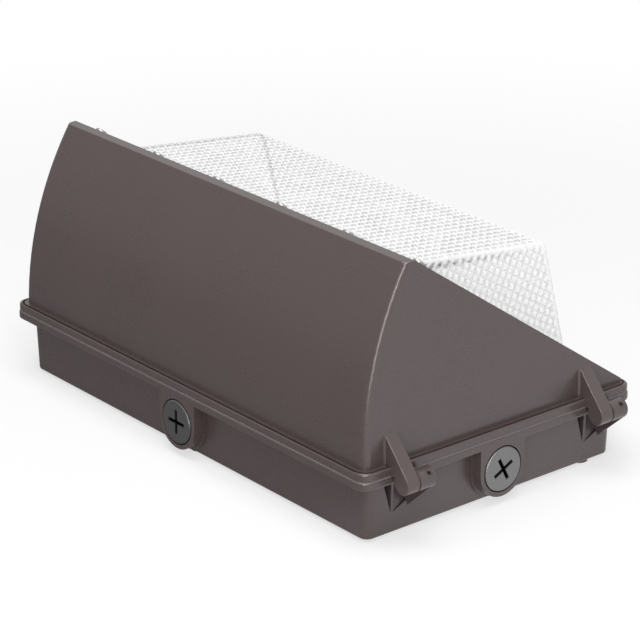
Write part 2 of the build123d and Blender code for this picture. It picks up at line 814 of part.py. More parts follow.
def make_glass():
    """Refractor in the slope's coordinates, then placed."""
    body = extrude(Plane.YZ * glass_profile(0), amount=glass_length / 2, both=True)
    apex = body.edges().filter_by(Axis.X).sort_by(Axis.Z)[-1]
    body = fillet(apex, glass_apex_round)
    top_edges = body.edges().filter_by(lambda edge: edge.center().Z > glass_shoulder + glass_edge_round)
    end_edges = top_edges.filter_by(lambda edge: abs(edge.center().X) > glass_length / 2 - glass_wall)
    body = fillet(end_edges, glass_edge_round)
    width = glass_lower_edge - glass_upper_edge
    middle = -(glass_upper_edge + glass_lower_edge) / 2
    flange = Pos(0, middle, (glass_back + glass_seat) / 2) * Box(
        glass_length + 2 * glass_flange_width, width + 2 * glass_flange_width, glass_flange
    )
    hollow = extrude(Plane.YZ * glass_profile(glass_wall), amount=glass_length / 2 - glass_wall, both=True)
    mouth = Pos(0, middle, glass_back) * Box(
        glass_length - 2 * glass_wall, width - 2 * glass_wall, 4 * glass_wall
    )
    return slope * (body + flange - hollow - mouth)


nodes["glass_refractor"] = make_glass()

# Flat gasket between the sloped front and the glass flange
window_down = (glass_upper_edge + glass_lower_edge) / 2
window_width = glass_lower_edge - glass_upper_edge + 2 * glass_clearance
gasket_cover_width = glass_lower_edge - glass_upper_edge + 2 * glass_flange_width
nodes["glass_gasket"] = slope_plate(
    0, window_down, glass_length + 2 * glass_flange_width, gasket_cover_width, glass_seat, -casting_wall
) - slope_plate(0, window_down, glass_length + 2 * glass_clearance, window_width, glass_seat, -casting_wall)


# Retainer bars across the bosses and the glass flange, with their screws
def make_retainer(span, row, flange_edge):
    """Flat bar from the outside of its screw row to a little way over the flange."""
    toward_glass = 1 if flange_edge > row else -1
    outer = row - toward_glass * retainer_outer_margin
    inner = flange_edge + toward_glass * retainer_hold
    width = abs(inner - outer)
    length = span + 2 * retainer_end_margin
    bar = slope_plate(0, (outer + inner) / 2, length, width, retainer_back, glass_back)
    for x, down in retainer_places:
        bar -= slope_solid(x, down, retainer_screw_diameter / 2 + fit_clearance, retainer_back, glass_back)
    return bar


nodes["glass_retainer_upper"] = make_retainer(
    retainer_upper_span, retainer_upper_row, glass_upper_edge - glass_flange_width
)
nodes["glass_retainer_lower"] = make_retainer(
    retainer_lower_span, retainer_lower_row, glass_lower_edge + glass_flange_width
)
retainer_screw = pan_screw(retainer_screw_diameter, -retainer_back + retainer_screw_tip)
nodes["retainer_screws"] = Compound(
    [slope * Pos(x, -down, 0) * retainer_screw for x, down in retainer_places]
)


# Captive cover screws
def make_cover_screw(z):
    """Slotted screw with a thin neck, so that it backs out without leaving the cover."""
    neck = post(latch_x, z, cover_screw_neck / 2, thread_top, cover_ear_front)
    thread = post(latch_x, z, cover_screw_diameter / 2, thread_tip, thread_top)
    head_front = cover_ear_front + cover_screw_head_height
    head = post(latch_x, z, cover_screw_head / 2, cover_ear_front, head_front)
    slot_bottom = head_front - cover_screw_head_height / 2
    slot = block(latch_x, z, cover_screw_head, cover_screw_slot, slot_bottom, head_front)
    return neck + thread + head - slot


for name, z in latch_heights.items():
    nodes[f"cover_screw_{name}"] = make_cover_screw(z)

screw_washers = [
    post(latch_x, z, retainer_washer_diameter / 2, cover_back, cover_back + retainer_washer_thickness)
    - post(latch_x, z, cover_screw_neck / 2 + screw_clearance, cover_back, cover_front)
    for z in latch_heights.values()
]
nodes["screw_retaining_washers"] = Compound(screw_washers)

# LED bracket: one bent sheet on two feet, its tray parallel to the sloped front
bracket_path = [
    (foot_top, upper_bend_z + bracket_foot),
    (foot_top, upper_bend_z),
    tray_upper,
    tray_lower,
    (foot_top, lower_bend_z),
    (foot_top, lower_bend_z - bracket_foot),
]
bracket = extrude(side_view * bent_strip(bracket_path, bracket_sheet), amount=bracket_length / 2, both=True)
for x, z in bracket_screw_places:
    bracket -= post(x, z, bracket_screw_diameter / 2 + screw_clearance, bracket_foot_depth, foot_top)
for x, down in board_screw_places:
    hole = board_screw_diameter / 2 + fit_clearance
    bracket -= slope_solid(x, down, hole, tray_out - bracket_sheet, tray_out)
nodes["led_bracket"] = bracket

bracket_screw = pan_screw(bracket_screw_diameter, bracket_screw_length)
nodes["bracket_screws"] = Compound(
    [facing_out(x, foot_top, z) * bracket_screw for x, z in bracket_screw_places]
)

# LED boards with chips, screws and jumpers
for name, row in board_rows.items():
    board = slope_plate(0, row, board_length, board_width, tray_out, board_out)
    for x, down in board_screw_places:
        hole = board_screw_diameter / 2 + screw_clearance
        board -= slope_solid(x, down, hole, tray_out, board_out)
    nodes[f"led_board_{name}"] = board

chip_span = board_length - 2 * chip_end_margin
chip_places = [chip_span * (index / (chip_count - 1) - 0.5) for index in range(chip_count)]
nodes["led_chips"] = Compound(
    [
        slope_plate(x, row, chip_size, chip_size, board_out, board_out + chip_height)
        for row in board_rows.values()
        for x in chip_places
    ]
)

board_screw = pan_screw(board_screw_diameter, board_thickness + bracket_sheet)
nodes["board_screws"] = Compound(
    [slope * Pos(x, -down, board_out) * board_screw for x, down in board_screw_places]
)

lead_radius = lead_diameter / 2
lead_out = board_out + lead_radius + fit_clearance
jumper_x = board_length / 2 - jumper_inset
jumper_from = slope_point(board_upper_row + board_width / 4, lead_out)
jumper_to = slope_point(board_lower_row - board_width / 4, lead_out)
nodes["board_jumpers"] = Compound(
    [lead([(x, *jumper_from), (x, *jumper_to)]) for x in (-jumper_x, -jumper_x + lead_pitch)]
)

# White reflecting film round the boards
film_top = board_upper_row - board_width / 2 - reflector_margin
film_end = board_lower_row + board_width / 2 + reflector_margin
film_length = board_length + 2 * reflector_margin
film = slope_plate(
    0, (film_top + film_end) / 2, film_length, film_end - film_top, tray_out, tray_out + reflector_thickness
)
for row in board_rows.values():
    window = (board_length + 2 * opening_clearance, board_width + 2 * opening_clearance)
    film -= slope_plate(0, row, *window, tray_out, tray_out + reflector_thickness)
nodes["reflector_film"] = film

# Driver
driver_top = driver_floor + driver_height
driver = block(0, driver_center_z, driver_length, driver_width, driver_floor, driver_top)
driver = fillet(driver.edges().filter_by(Axis.Y), back_edge_round)
ear_span = driver_length + 2 * driver_ear_length
ear_top = driver_floor + driver_ear_thickness
driver += block(0, driver_center_z, ear_span, driver_width / 2, driver_floor, ear_top)
for x in (-driver_screw_x, driver_screw_x):
    hole = driver_screw_diameter / 2 + screw_clearance
    driver -= post(x, driver_center_z, hole, driver_floor, ear_top)
nodes["led_driver"] = driver

driver_screw = pan_screw(driver_screw_diameter, driver_screw_length)
nodes["driver_screws"] = Compound(
    [facing_out(x, ear_top, driver_center_z) * driver_screw for x in (-driver_screw_x, driver_screw_x)]
)

# Terminal block
terminal_top = driver_floor + terminal_height
terminal = block(0, terminal_center_z, terminal_length, terminal_width, driver_floor, terminal_top)
terminal_span = terminal_length + 2 * terminal_ear_length
terminal_ear_top = driver_floor + terminal_ear_thickness
terminal += block(0, terminal_center_z, terminal_span, terminal_width / 2, driver_floor, terminal_ear_top)
for x in (-terminal_screw_x, terminal_screw_x):
    hole = driver_screw_diameter / 2 + screw_clearance
    terminal -= post(x, terminal_center_z, hole, driver_floor, terminal_ear_top)
pole_pitch = terminal_length / terminal_pole_count
pole_places = [(index - (terminal_pole_count - 1) / 2) * pole_pitch for index in range(terminal_pole_count)]
pole_depth = terminal_screw_diameter * pan_head_height_ratio
for x in pole_places:
    well = terminal_screw_diameter * pan_head_ratio / 2 + screw_clearance
    terminal -= post(x, terminal_center_z, well, terminal_top - pole_depth, terminal_top)
    hole = terminal_screw_diameter / 2 + fit_clearance
    terminal -= post(x, terminal_center_z, hole, terminal_top - terminal_height / 2, terminal_top)
nodes["terminal_block"] = terminal

terminal_mount_screw = pan_screw(driver_screw_diameter, driver_screw_length)
nodes["terminal_mount_screws"] = Compound(
    [
        facing_out(x, terminal_ear_top, terminal_center_z) * terminal_mount_screw
        for x in (-terminal_screw_x, terminal_screw_x)
    ]
)
pole_screw = pan_screw(terminal_screw_diameter, terminal_height / 2 - pole_depth - screw_clearance)
nodes["terminal_screws"] = Compound(
    [facing_out(x, terminal_top - pole_depth, terminal_center_z) * pole_screw for x in pole_places]
)

# Ground screw with its ring lug
ring_top = driver_floor + lug_ring_thickness
ground_lug = post(ground_x, terminal_center_z, lug_ring_diameter / 2, driver_floor, ring_top)
lug_tail_x = ground_x + lug_tail_length / 2
ground_lug += block(lug_tail_x, terminal_center_z, lug_tail_length, lug_tail_width, driver_floor, ring_top)
lug_hole = ground_screw_diameter / 2 + screw_clearance
nodes["ground_lug"] = ground_lug - post(ground_x, terminal_center_z, lug_hole, driver_floor, ring_top)
ground_screw = pan_screw(ground_screw_diameter, driver_screw_length - 2 * screw_clearance)
nodes["ground_screw"] = facing_out(ground_x, ring_top, terminal_center_z) * ground_screw

# Leads inside the housing
lead_depth = driver_floor + driver_height / 2
terminal_lead_depth = driver_floor + terminal_height / 2
supply_x = -driver_length / 2 - lead_loop
for name, step in (("line_lead", -1), ("neutral_lead", 1)):
    offset_z = step * lead_pitch / 2
    nodes[name] = lead(
        [
            (-driver_length / 2, terminal_lead_depth, driver_center_z + offset_z),
            (supply_x + offset_z, terminal_lead_depth, driver_center_z + offset_z),
            (supply_x + offset_z, terminal_lead_depth, terminal_center_z - offset_z),
            (-terminal_length / 2, terminal_lead_depth, terminal_center_z - offset_z),
        ]
    )

ground_lead_x = ground_x + lug_tail_length - lead_diameter
nodes["ground_lead"] = lead(
    [
        (terminal_length / 2, terminal_lead_depth + lead_pitch, terminal_center_z),
        (ground_lead_x, terminal_lead_depth + lead_pitch, terminal_center_z),
        (ground_lead_x, ring_top, terminal_center_z),
    ]
)

led_lead_x = bracket_length / 2 + led_lead_side
for name, step in (("led_lead_positive", -1), ("led_lead_negative", 1)):
    offset_down = step * lead_pitch / 2
    landing = slope_point(board_lower_row + board_width / 4 + offset_down, lead_out)
    nodes[name] = lead(
        [
            (driver_length / 2, lead_depth, driver_center_z - offset_down),
            (led_lead_x + offset_down, lead_depth, driver_center_z - offset_down),
            (led_lead_x + offset_down, landing[0], landing[1]),
            (board_length / 2 - jumper_inset, landing[0], landing[1]),
        ]
    )

os.makedirs("parts", exist_ok=True)
for name, solid in nodes.items():
    export_step(solid, f"parts/{name}.step")
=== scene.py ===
import json
from math import atan2, cos, hypot, pi, radians, sin, tan

import bmesh
import bpy
from mathutils import Matrix, Vector


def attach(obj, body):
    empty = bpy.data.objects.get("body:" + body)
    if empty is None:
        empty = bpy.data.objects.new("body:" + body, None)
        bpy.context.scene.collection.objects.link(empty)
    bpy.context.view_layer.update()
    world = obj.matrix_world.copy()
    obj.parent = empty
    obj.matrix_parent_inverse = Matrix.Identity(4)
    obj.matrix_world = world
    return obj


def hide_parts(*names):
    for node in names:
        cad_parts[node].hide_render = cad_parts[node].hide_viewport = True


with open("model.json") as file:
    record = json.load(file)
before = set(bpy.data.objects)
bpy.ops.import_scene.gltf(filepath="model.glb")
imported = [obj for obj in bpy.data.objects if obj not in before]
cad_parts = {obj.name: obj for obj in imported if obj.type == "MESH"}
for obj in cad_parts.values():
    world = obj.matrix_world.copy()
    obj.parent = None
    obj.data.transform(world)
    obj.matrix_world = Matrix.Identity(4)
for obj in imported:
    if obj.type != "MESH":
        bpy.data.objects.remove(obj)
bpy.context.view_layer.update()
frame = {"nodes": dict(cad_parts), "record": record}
nodes = frame["nodes"]

MM = 0.001

# Sizes that the glass shares with the castings, in millimetres
lip_depth = 169.0
lip_back_z = 63.1
toe_depth = 52.4
toe_z = -104.7
slope_angle = atan2(lip_depth - toe_depth, lip_back_z - toe_z)
slope_length = hypot(lip_depth - toe_depth, lip_back_z - toe_z)

rim_length = 361.0
rim_height = 220.0
rim_corner = 8.0
parting_depth = 44.025
lip_inset = 0.95
lip_radius = 0.5
lip_corner_steps = 10

hub_depth = 23.0
plug_face_x = 181.1
plug_face_z = 110.6
# Depths under the plug's face and reaches from its middle over which the painted shade of the cross slots
# fades in
plug_slot_depths = (0.8, 1.8)
plug_slot_reaches = (8.5, 9.5)

chip_side = 3.5
chip_height = 0.8
chip_face = 2.7
chip_body_share = 0.7
chip_merge = 0.001

glass_half_length = 139.5
glass_upper_edge = 29.1
glass_lower_edge = slope_length - 18.4
glass_apex_down = glass_lower_edge - 60.5
glass_apex_out = 53.2
glass_shoulder = 0.8
glass_wall = 4.0
glass_apex_round = 8.0
glass_end_round = 2.0
glass_flange_width = 7.0
glass_flange_front = -4.5
glass_back = -9.5
glass_merge = 0.0005
glass_edge_reach = 1.2
apex_step = 0.12
end_turn_step = pi / 10
sharp_angle = radians(40)
prism_pitch = 6.15
prism_relief = 0.5
prism_steps = 6
prism_border = 0.5
prism_turn = 1.0
end_prism_width = 5.54
end_prism_height = 4.6
end_prism_lean = 0.197
end_row_lean = -0.058
end_grid = 0.75
blob_shade_reach = 6.0
blob_shade_run = 90.0

# Waves that make up the prisms' painted light and shade: count across, count down, strength and phase
shade_wave_strength = 0.52
prism_shade_waves = (
    (1, -1, 0.2, 3.0),
    (1, -2, 0.3, 2.9),
    (0, 1, 0.2, 0.0),
    (2, -2, 0.13, -0.44),
    (2, -1, 0.1, -1.7),
)

# How far the glass looks milky, from outside on its front, ends, painted groove shade and painted dark blobs,
# and from inside
front_veil = 0.55
end_veil = 0.26
groove_veil = 0.18
blob_shade_veil = 0.9
inside_veil = 0.15


# Node trees

class Value:
    """A number or colour socket in a node tree; arithmetic on it adds Math nodes."""

    def __init__(self, tree, socket):
        self.tree = tree
        self.socket = socket

    def math(self, operation, *others):
        return self.tree.math(operation, self, *others)

    def __add__(self, other):
        return self.math("ADD", other)

    def __sub__(self, other):
        return self.math("SUBTRACT", other)

    def __rsub__(self, other):
        return self.tree.math("SUBTRACT", other, self)

    def __mul__(self, other):
        return self.math("MULTIPLY", other)

    def __truediv__(self, other):
        return self.math("DIVIDE", other)

    def __pow__(self, other):
        return self.math("POWER", other)

    __radd__ = __add__
    __rmul__ = __mul__

    def smooth(self, low, high):
        """0 below low, 1 above high and a soft step between."""
        settings = {"interpolation_type": "SMOOTHSTEP"}
        sockets = {"Value": self, "From Min": low, "From Max": high}
        return self.tree.add("ShaderNodeMapRange", settings, sockets)


class Tree:
    """A node tree whose nodes all come from one method."""

    def __init__(self, tree):
        self.tree = tree

    def add(self, kind, settings=None, sockets=None, output=0):
        """Adds a node, sets it, feeds its sockets and returns one of its outputs."""
        node = self.tree.nodes.new(kind)
        for name, setting in (settings or {}).items():
            setattr(node, name, setting)
        for name, feed in (sockets or {}).items():
            if isinstance(feed, Value):
                self.tree.links.new(feed.socket, node.inputs[name])
            else:
                node.inputs[name].default_value = feed
        return Value(self, node.outputs[output]) if len(node.outputs) else node

    def math(self, operation, *terms):
        return self.add("ShaderNodeMath", {"operation": operation}, dict(enumerate(terms)))

    def blend(self, share, first, second):
        """Colour between two colours."""
        settings = {"data_type": "RGBA"}
        return self.add("ShaderNodeMix", settings, {0: share, 6: first, 7: second}, output=2)


class Finish(Tree):
    """A material built as a node tree."""

    def __init__(self, name):
        self.material = bpy.data.materials.new(name)
        self.material.use_nodes = True
        super().__init__(self.material.node_tree)
        self.tree.nodes.clear()
        self.place = self.add("ShaderNodeTexCoord", output="Object")

    def noise(self, size, detail=2.0, roughness=0.5):
        """Noise whose grains are about this size, in metres."""
        sockets = {"Vector": self.place, "Scale": 1.0 / size, "Detail": detail, "Roughness": roughness}
        return self.add("ShaderNodeTexNoise", None, sockets)

    def stretched_noise(self, size, stretch, detail=2.0):
        """Noise drawn out along one axis, as brushed and rolled metal shows."""
        moved = self.add("ShaderNodeMapping", None, {"Vector": self.place, "Scale": stretch})
        sockets = {"Vector": moved, "Scale": 1.0 / size, "Detail": detail}
        return self.add("ShaderNodeTexNoise", None, sockets)

    def bump(self, height, distance):
        """Fine relief, with its height in metres."""
        return self.add("ShaderNodeBump", None, {"Height": height, "Distance": distance, "Strength": 1.0})

    def surface(self, **sockets):
        """Principled surface; socket names take underscores for spaces."""
        named = {name.replace("_", " "): feed for name, feed in sockets.items()}
        shader = self.add("ShaderNodeBsdfPrincipled", None, named)
        self.add("ShaderNodeOutputMaterial", None, {"Surface": shader})
        return self.material


# Finishes

def rgb(red, green, blue):
    return (red, green, blue, 1.0)


def shade(colour, factor):
    return (colour[0] * factor, colour[1] * factor, colour[2] * factor, 1.0)


def powder_coat(name, colour, roughness=0.28, grain=0.0009, lift=0.000006):
    """Fine-grained powder coat with a faint uneven sheen."""
    coat = Finish(name)
    cloud = coat.noise(0.06, 3.0)
    fine = coat.noise(grain, 2.0, 0.6)
    tone = coat.blend(cloud.smooth(0.3, 0.7), shade(colour, 0.98), shade(colour, 1.02))
    speck = coat.blend(fine.smooth(0.35, 0.75) * 0.06, tone, shade(colour, 1.3))
    return coat.surface(
        Base_Color=speck,
        Roughness=cloud * 0.02 + fine * 0.04 + (roughness - 0.03),
        Normal=coat.bump(fine, lift),
        Specular_IOR_Level=0.85,
    )


def satin_metal(name, colour, roughness=0.3, metallic=1.0, stretch=(1.0, 1.0, 14.0), size=0.0012):
    """Metal with fine drawn streaks."""
    metal = Finish(name)
    streak = metal.stretched_noise(size, stretch, 3.0)
    cloud = metal.noise(0.015, 2.0)
    tone = metal.blend(streak.smooth(0.25, 0.8), shade(colour, 0.88), shade(colour, 1.06))
    return metal.surface(
        Base_Color=tone,
        Metallic=metallic,
        Roughness=streak * 0.12 + cloud * 0.08 + (roughness - 0.1),
        Normal=metal.bump(streak, 0.00002),
    )


def plug_metal(name, colour):
    """Dark metal of the conduit plugs, with painted shade that turns their cross slots black."""
    metal = Finish(name)
    streak = metal.noise(0.0008, 3.0)
    parts = metal.add("ShaderNodeSeparateXYZ", None, {0: metal.place})
    x, y, z = (Value(metal, socket) for socket in parts.socket.node.outputs)
    # Painted shade: black inside the cross slots, below the plug's face and within the slots' reach
    below = (plug_face_x * MM - x.math("ABSOLUTE")).math("MINIMUM", plug_face_z * MM - z)
    beside = x.math("ABSOLUTE").math("MINIMUM", z.math("ABSOLUTE"))
    radius = (beside * beside + (y + hub_depth * MM) ** 2.0).math("SQRT")
    in_reach = 1.0 - radius.smooth(*(reach * MM for reach in plug_slot_reaches))
    slot = below.smooth(*(depth * MM for depth in plug_slot_depths)) * in_reach
    tone = metal.blend(streak.smooth(0.25, 0.8), shade(colour, 0.92), shade(colour, 1.06))
    return metal.surface(
        Base_Color=metal.blend(slot, tone, rgb(0.006, 0.006, 0.006)),
        Metallic=0.95,
        Roughness=streak * 0.12 + 0.32,
        Normal=metal.bump(streak, 0.00002),
    )


def moulded(name, colour, roughness=0.45, grain=0.0007, lift=0.00002):
    """Moulded plastic or rubber with a fine even grain."""
    plastic = Finish(name)
    fine = plastic.noise(grain, 2.0)
    cloud = plastic.noise(0.02, 2.0)
    tone = plastic.blend(cloud.smooth(0.3, 0.7), shade(colour, 0.92), shade(colour, 1.05))
    return plastic.surface(
        Base_Color=tone,
        Roughness=fine * 0.1 + (roughness - 0.05),
        Normal=plastic.bump(fine, lift),
    )


def pressed_glass():
    """Clear pressed glass whose outer prisms scatter the light, so that it looks milky at a slant; its dark
    dashes, groove lines and blobs are painted shade.
    """
    glass = Finish("pressed_glass")
    across, along, prism, skin, end, blob_shade = (
        glass.add("ShaderNodeAttribute", {"attribute_name": name}, output="Fac")
        for name in ("across", "along", "prism", "skin", "end", "blob_shade")
    )
    turn = 2 * pi / prism_pitch
    over, down = across * turn, along * turn
    # Painted light and shade of the prisms: a sum of waves over the prism grid
    prism_light_and_shade = over.math("COSINE") * shade_wave_strength
    for over_count, down_count, strength, phase in prism_shade_waves:
        prism_light_and_shade = prism_light_and_shade + (over * over_count + down * down_count + phase).math("COSINE") * strength
    shade_share = glass.noise(0.012, 4.0, 0.7).smooth(0.3, 0.7) * 0.5 + 0.6
    # Painted shade: dark dashes where the waves run low, on the front and lower faces
    front = (1.0 - prism_light_and_shade.smooth(-0.5, 0.65)) * shade_share * prism * (1.0 - end)
    # Painted shade along the valleys between the prisms of the two ends
    columns = over.math("COSINE").smooth(-0.2, 0.9)
    rows = down.math("COSINE").smooth(0.2, 1.0)
    groove_shade = (columns * 0.7).math("MAXIMUM", rows * 0.6) * prism * end
    behind = glass.add("ShaderNodeNewGeometry", output="Backfacing")
    outside = front_veil - end * (front_veil - end_veil) + groove_shade * groove_veil + blob_shade * blob_shade_veil
    return glass.surface(
        # Base colour goes from the glass's white to grey where the painted shade falls
        Base_Color=glass.blend(front + groove_shade + blob_shade, rgb(0.97, 0.97, 0.97), rgb(0.3, 0.3, 0.3)),
        Roughness=glass.noise(0.02) * 0.1 + 0.2,
        Specular_IOR_Level=0.2,
        Alpha=skin * ((1.0 - behind) * outside + behind * (front + groove_shade) * inside_veil),
    )


bronze = (0.079, 0.057, 0.056)
finishes = {
    "bronze_coat": powder_coat("bronze_powder_coat", bronze),
    "bronze_plug": plug_metal("dark_plug_metal", (0.27, 0.27, 0.27)),
    "black_rubber": moulded("black_rubber", (0.02, 0.02, 0.02), 0.6),
    "steel": satin_metal("plain_steel", (0.52, 0.52, 0.51), 0.4),
    "black_steel": satin_metal("black_steel", (0.10, 0.08, 0.078), 0.35, 0.3, (1.0, 1.0, 1.0), 0.0006),
    "bracket_sheet": satin_metal("rolled_aluminium", (0.78, 0.79, 0.80), 0.52, 1.0, (1.0, 12.0, 12.0)),
    "zinc_sheet": satin_metal("zinc_sheet", (0.66, 0.68, 0.70), 0.4, 1.0, (1.0, 1.0, 1.0), 0.006),
    "white_film": moulded("white_film", (0.90, 0.90, 0.90), 0.25, 0.002),
    "board_mask": moulded("board_mask", (0.82, 0.84, 0.83), 0.3, 0.0006),
    "phosphor": moulded("phosphor", (0.85, 0.62, 0.10), 0.35, 0.0003),
    "driver_case": powder_coat("driver_paint", (0.42, 0.43, 0.45), 0.4),
    "terminal_plastic": moulded("terminal_plastic", (0.05, 0.05, 0.055), 0.4),
    "brass": satin_metal("brass", (0.78, 0.56, 0.24), 0.25),
    "ground_green": moulded("ground_green", (0.03, 0.25, 0.08), 0.35),
    # Light grey of the seal lip, so that it shows as a painted highlight along the parting line
    "grey_seal": moulded("grey_seal", (0.19, 0.177, 0.176), 0.45),
    "lead_black": moulded("lead_black", (0.02, 0.02, 0.02), 0.35),
    "lead_white": moulded("lead_white", (0.80, 0.80, 0.78), 0.35),
    "lead_red": moulded("lead_red", (0.50, 0.03, 0.03), 0.35),
    "lead_blue": moulded("lead_blue", (0.03, 0.07, 0.38), 0.35),
}
for subpart in frame["record"]["subparts"]:
    if subpart["material_slot"] in finishes:
        for slot in nodes[subpart["node"]].material_slots:
            slot.material = finishes[subpart["material_slot"]]


# Pressed glass

slope_to_row = Matrix(
    (
        (1, 0, 0, 0),
        (0, -sin(slope_angle), -cos(slope_angle), -lip_depth),
        (0, cos(slope_angle), -sin(slope_angle), lip_back_z),
        (0, 0, 0, 1),
    )
)


def steps(start, end, spacing):
    """Values from start to end, at most a spacing apart, both ends included."""
    count = max(1, round((end - start) / spacing))
    return [start + (end - start) * index / count for index in range(count + 1)]


def prism_stations(length):
    """Distances along one face from its middle, ends included, fine enough for the prisms."""
    return steps(-length / 2, length / 2, prism_pitch / prism_steps)


class GlassMesh:
    """Builds the hollow glass body in the slope's coordinates: x along, y up the slope, z out of it."""

    def __init__(self):
        self.mesh = bmesh.new()
        self.across = self.mesh.verts.layers.float.new("across")
        self.along = self.mesh.verts.layers.float.new("along")
        self.prism = self.mesh.verts.layers.float.new("prism")
        self.skin = self.mesh.verts.layers.float.new("skin")
        self.end = self.mesh.verts.layers.float.new("end")
        self.blob_shade = self.mesh.verts.layers.float.new("blob_shade")

    def point(self, x, down, out, across=0.0, along=0.0, prism=0.0, skin=0.0, end=0.0, blob_shade=0.0):
        vert = self.mesh.verts.new((x, -down, out))
        vert[self.across] = across
        vert[self.along] = along
        vert[self.prism] = prism
        vert[self.skin] = skin
        vert[self.end] = end
        vert[self.blob_shade] = blob_shade
        return vert

    def profile(self):
        """Outer side view from the upper shoulder over the apex to the lower one.

        Each entry is down, out, normal down, normal out, distance along its face,
        and whether prisms cover it."""
        front_angle = atan2(glass_apex_out - glass_shoulder, glass_apex_down - glass_upper_edge)
        low_angle = atan2(glass_apex_out - glass_shoulder, glass_lower_edge - glass_apex_down)
        tangent = glass_apex_round * tan((front_angle + low_angle) / 2)
        front_length = hypot(glass_apex_out - glass_shoulder, glass_apex_down - glass_upper_edge) - tangent
        low_length = hypot(glass_apex_out - glass_shoulder, glass_lower_edge - glass_apex_down) - tangent
        entries = []
        stations = prism_stations(front_length)
        for along in stations:
            down = glass_upper_edge + (along + front_length / 2) * cos(front_angle)
            out = glass_shoulder + (along + front_length / 2) * sin(front_angle)
            covered = along not in (stations[0], stations[-1])
            entries.append((down, out, -sin(front_angle), cos(front_angle), along, covered))
        start = entries[-1]
        center_down = start[0] + glass_apex_round * sin(front_angle)
        center_out = start[1] - glass_apex_round * cos(front_angle)
        for angle in steps(-front_angle, low_angle, apex_step)[1:-1]:
            down = center_down + glass_apex_round * sin(angle)
            out = center_out + glass_apex_round * cos(angle)
            entries.append((down, out, sin(angle), cos(angle), 0.0, False))
        stations = prism_stations(low_length)
        for along in stations:
            down = glass_lower_edge - (low_length / 2 - along) * cos(low_angle)
            out = glass_shoulder + (low_length / 2 - along) * sin(low_angle)
            covered = along not in (stations[0], stations[-1])
            entries.append((down, out, sin(low_angle), cos(low_angle), along, covered))
        return entries

    def outer_faces(self):
        """Front and lower faces with the rounded apex, and their rounded turns into the two ends."""
        profile = self.profile()
        straight = glass_half_length - glass_end_round
        turns = steps(0.0, pi / 2, end_turn_step)[1:]
        columns = [(x, x, 0.0, 1.0) for x in prism_stations(2 * straight)]
        for turn in turns:
            fade = max(0.0, 1 - turn / prism_turn)
            for side, place in ((-1, 0), (1, len(columns))):
                x = side * (straight + glass_end_round * sin(turn))
                columns.insert(place, (x, side * (straight + glass_end_round * turn), turn, fade))
        rows = []
        for x, across, turn, fade in columns:
            inset = glass_end_round * (1 - cos(turn))
            rows.append(
                [
                    self.point(
                        x,
                        down - inset * normal_down,
                        max(out - inset * normal_out, glass_shoulder),
                        across,
                        along,
                        fade if covered else 0.0,
                        1.0,
                    )
                    for down, out, normal_down, normal_out, along, covered in profile
                ]
            )
        for left, right in zip(rows[:-1], rows[1:]):
            for index in range(len(profile) - 1):
                self.mesh.faces.new((left[index], left[index + 1], right[index + 1], right[index]))
        return rows

    def end_face(self, border):
        """Flat end, covered with prisms up to a narrow strip along its border."""
        x = border[0].co.x
        corners = [(-vert.co.y, vert.co.z) for vert in border]

        def clearance(down, out):
            """Height of the border over a point, or less than nothing outside it."""
            for (low_down, low_out), (high_down, high_out) in zip(corners[:-1], corners[1:]):
                if low_down <= down <= high_down and high_down > low_down:
                    return low_out + (high_out - low_out) * (down - low_down) / (high_down - low_down) - out
            return -1.0

        downs = steps(glass_upper_edge, glass_lower_edge, end_grid)
        outs = steps(glass_shoulder + prism_border, glass_apex_out, end_grid)
        stretch = hypot(1.0, (glass_apex_out - glass_shoulder) / (glass_apex_down - glass_upper_edge))
        verts = {}
        for i, down in enumerate(downs):
            for j, out in enumerate(outs):
                room = clearance(down, out) - prism_border
                if room > 0:
                    across = (down + out * end_prism_lean) * prism_pitch / end_prism_width
                    along = (out + down * end_row_lean) * prism_pitch / end_prism_height
                    raised = min(1.0, room / 2, j / 2)
                    # Painted shade: a row of dark blobs along the end's border near the upper edge, fading
                    # downwards
                    beat = 0.5 + 0.5 * cos(2 * pi * (down - glass_upper_edge) * stretch / prism_pitch)
                    run = max(0.0, 1 - (down - glass_upper_edge) / blob_shade_run)
                    reach = min(1.0, max(0.0, 2.0 - 2.0 * room / blob_shade_reach))
                    blob_shade = beat * run * reach
                    verts[i, j] = self.point(x, down, out, across, along, raised, 1.0, 1.0, blob_shade)
        for i, j in list(verts):
            corner_keys = [(i, j), (i + 1, j), (i + 1, j + 1), (i, j + 1)]
            if all(key in verts for key in corner_keys):
                self.mesh.faces.new([verts[key] for key in corner_keys])
        for vert in list(verts.values()):
            if not vert.link_faces:
                self.mesh.verts.remove(vert)
        inside = [vert for vert in verts.values() if vert.is_valid]
        rim = {edge for vert in inside for edge in vert.link_edges if len(edge.link_faces) == 1}
        pairs = [*zip(border[:-1], border[1:]), (border[-1], border[0])]
        outline = [self.mesh.edges.get(pair) or self.mesh.edges.new(pair) for pair in pairs]
        bmesh.ops.triangle_fill(
            self.mesh, use_beauty=True, use_dissolve=False, edges=[*rim, *outline], normal=(1, 0, 0)
        )

    def loop_down(self, edges, move):
        """Extrudes an open rim and moves its new points."""
        made = bmesh.ops.extrude_edge_only(self.mesh, edges=edges)["geom"]
        verts = [item for item in made if isinstance(item, bmesh.types.BMVert)]
        for vert in verts:
            vert.co = move(vert.co)
            vert[self.prism] = 0.0
            vert[self.skin] = 0.0
        return [item for item in made if isinstance(item, bmesh.types.BMEdge) and len(item.link_faces) == 1]

    def neck_and_flange(self):
        """Straight neck through the window and the flange behind it."""
        rim = [edge for edge in self.mesh.edges if len(edge.link_faces) == 1]
        rim = self.loop_down(rim, lambda at: Vector((at.x, at.y, glass_flange_front)))

